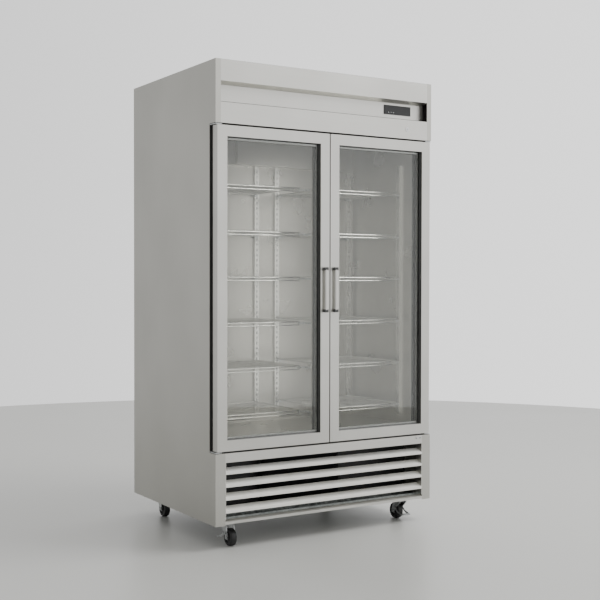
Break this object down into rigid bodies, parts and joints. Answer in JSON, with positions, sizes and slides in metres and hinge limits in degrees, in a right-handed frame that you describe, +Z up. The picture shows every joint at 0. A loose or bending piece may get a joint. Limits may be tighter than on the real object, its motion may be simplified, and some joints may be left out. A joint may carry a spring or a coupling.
{
  "type": "glass door merchandiser",
  "caption": "Upright stainless refrigerated merchandiser with hinged glass doors, wire shelves, header controls, louvred base grille and swivel casters.",
  "frame": {"origin": "centre of the bounding box's footprint, on the floor under the casters", "axes": "+X to the right across the doors, +Y from the doors to the back, +Z up"},
  "size_m": [1.15, 0.8868, 2.08],
  "materials": {
    "black_seal": "matte",
    "brushed_stainless": "satin",
    "caster_tyre": "matte",
    "caster_zinc": "satin",
    "compressor_black": "gloss",
    "controller_black": "gloss",
    "copper_tube": "satin",
    "display_plastic": "gloss",
    "door_glass": "polished",
    "fan_plastic": "matte",
    "fin_aluminium": "satin",
    "foam": "matte",
    "galvanised_steel": "satin",
    "handle_metal": "satin",
    "hinge_metal": "satin",
    "key_plastic": "matte",
    "lamp_plastic": "satin",
    "liner_metal": "satin",
    "lock_chrome": "polished",
    "shelf_wire": "satin",
    "slat_metal": "satin",
    "zinc_clip": "satin"
  },
  "bodies": {
    "cabinet": {"back_panel": "galvanised_steel", "base_frame": "galvanised_steel", "caster_plates": "caster_zinc", "compressor": "compressor_black", "condenser_coil": "fin_aluminium", "condenser_shroud": "galvanised_steel", "controller_case": "controller_black", "display_window": "display_plastic", "drain_pan": "liner_metal", "evaporator_coil": "fin_aluminium", "evaporator_cover": "liner_metal", "face_frame": "liner_metal", "fasteners": "zinc_clip", "grille_frame": "brushed_stainless", "grille_slats": "slat_metal", "header_cover": "brushed_stainless", "header_lower_fascia": "brushed_stainless", "hinge_brackets": "hinge_metal", "insulation": "foam", "light_bars": "lamp_plastic", "liner_panels": "liner_metal", "lock_barrel": "lock_chrome", "pilasters": "liner_metal", "rear_duct_panel": "liner_metal", "refrigerant_lines": "copper_tube", "shelf_clips": "zinc_clip", "shelves_level_1": "shelf_wire", "shelves_level_2": "shelf_wire", "shelves_level_3": "shelf_wire", "shelves_level_4": "shelf_wire", "shelves_level_5": "shelf_wire", "shelves_level_6": "shelf_wire", "side_panel_left": "brushed_stainless", "side_panel_right": "brushed_stainless", "top_panel": "galvanised_steel"},
    "door_left": {"door_left_frame": "brushed_stainless", "door_left_glass": "door_glass", "door_left_handle": "handle_metal", "door_left_seal": "black_seal"},
    "door_right": {"door_right_frame": "brushed_stainless", "door_right_glass": "door_glass", "door_right_handle": "handle_metal", "door_right_seal": "black_seal"},
    "evaporator_fan_left": {"evaporator_fan_left": "fan_plastic"},
    "evaporator_fan_right": {"evaporator_fan_right": "fan_plastic"},
    "condenser_fan": {"condenser_fan": "fan_plastic"},
    "lock_plug": {"lock_plug": "lock_chrome"},
    "key_set": {"key_set": "key_plastic"},
    "key_down": {"key_down": "key_plastic"},
    "key_up": {"key_up": "key_plastic"},
    "caster_fork_front_left": {"caster_fork_front_left": "caster_zinc"},
    "caster_wheel_front_left": {"caster_wheel_front_left": "caster_tyre"},
    "brake_pedal_front_left": {"brake_pedal_front_left": "caster_zinc"},
    "caster_fork_front_right": {"caster_fork_front_right": "caster_zinc"},
    "caster_wheel_front_right": {"caster_wheel_front_right": "caster_tyre"},
    "brake_pedal_front_right": {"brake_pedal_front_right": "caster_zinc"},
    "caster_fork_rear_left": {"caster_fork_rear_left": "caster_zinc"},
    "caster_wheel_rear_left": {"caster_wheel_rear_left": "caster_tyre"},
    "caster_fork_rear_right": {"caster_fork_rear_right": "caster_zinc"},
    "caster_wheel_rear_right": {"caster_wheel_rear_right": "caster_tyre"}
  },
  "joints": [
    {"name": "door_left_hinge", "type": "hinge", "parent": "cabinet", "child": "door_left", "pos_m": [-0.555, -0.4084, 1.112], "axis": [0, 0, -1], "range_deg": [0, 110]},
    {"name": "door_right_hinge", "type": "hinge", "parent": "cabinet", "child": "door_right", "pos_m": [0.555, -0.4084, 1.112], "axis": [0, 0, 1], "range_deg": [0, 110]},
    {"name": "evaporator_fan_left_spin", "type": "hinge", "parent": "cabinet", "child": "evaporator_fan_left", "pos_m": [-0.32, 0.132, 1.875], "axis": [0, -1, 0], "continuous": true},
    {"name": "evaporator_fan_right_spin", "type": "hinge", "parent": "cabinet", "child": "evaporator_fan_right", "pos_m": [0.32, 0.132, 1.875], "axis": [0, -1, 0], "continuous": true},
    {"name": "condenser_fan_spin", "type": "hinge", "parent": "cabinet", "child": "condenser_fan", "pos_m": [-0.06, -0.207, 0.255], "axis": [0, 1, 0], "continuous": true},
    {"name": "lock_turn", "type": "hinge", "parent": "cabinet", "child": "lock_plug", "pos_m": [0.434, -0.427, 1.856], "axis": [0, 1, 0], "range_deg": [0, 90]},
    {"name": "key_set_press", "type": "slide", "parent": "cabinet", "child": "key_set", "axis": [0, 1, 0], "range_m": [0, 0.001], "stiffness_N_per_m": 600},
    {"name": "key_down_press", "type": "slide", "parent": "cabinet", "child": "key_down", "axis": [0, 1, 0], "range_m": [0, 0.001], "stiffness_N_per_m": 600},
    {"name": "key_up_press", "type": "slide", "parent": "cabinet", "child": "key_up", "axis": [0, 1, 0], "range_m": [0, 0.001], "stiffness_N_per_m": 600},
    {"name": "caster_swivel_front_left", "type": "hinge", "parent": "cabinet", "child": "caster_fork_front_left", "pos_m": [-0.47, -0.332, 0.092], "axis": [0, 0, 1], "continuous": true},
    {"name": "caster_roll_front_left", "type": "hinge", "parent": "caster_fork_front_left", "child": "caster_wheel_front_left", "pos_m": [-0.47, -0.362, 0.038], "axis": [1, 0, 0], "continuous": true},
    {"name": "brake_press_front_left", "type": "hinge", "parent": "caster_fork_front_left", "child": "brake_pedal_front_left", "pos_m": [-0.47, -0.352, 0.056], "axis": [-1, 0, 0], "range_deg": [0, 10]},
    {"name": "caster_swivel_front_right", "type": "hinge", "parent": "cabinet", "child": "caster_fork_front_right", "pos_m": [0.47, -0.332, 0.092], "axis": [0, 0, 1], "continuous": true},
    {"name": "caster_roll_front_right", "type": "hinge", "parent": "caster_fork_front_right", "child": "caster_wheel_front_right", "pos_m": [0.47, -0.302, 0.038], "axis": [-1, 0, 0], "continuous": true},
    {"name": "brake_press_front_right", "type": "hinge", "parent": "caster_fork_front_right", "child": "brake_pedal_front_right", "pos_m": [0.47, -0.312, 0.056], "axis": [1, 0, 0], "range_deg": [0, 10]},
    {"name": "caster_swivel_rear_left", "type": "hinge", "parent": "cabinet", "child": "caster_fork_rear_left", "pos_m": [-0.47, 0.346, 0.092], "axis": [0, 0, 1], "continuous": true},
    {"name": "caster_roll_rear_left", "type": "hinge", "parent": "caster_fork_rear_left", "child": "caster_wheel_rear_left", "pos_m": [-0.47, 0.316, 0.038], "axis": [1, 0, 0], "continuous": true},
    {"name": "caster_swivel_rear_right", "type": "hinge", "parent": "cabinet", "child": "caster_fork_rear_right", "pos_m": [0.47, 0.346, 0.092], "axis": [0, 0, 1], "continuous": true},
    {"name": "caster_roll_rear_right", "type": "hinge", "parent": "caster_fork_rear_right", "child": "caster_wheel_rear_right", "pos_m": [0.46791, 0.31607, 0.038], "axis": [0.9976, -0.0698, 0], "continuous": true}
  ]
}
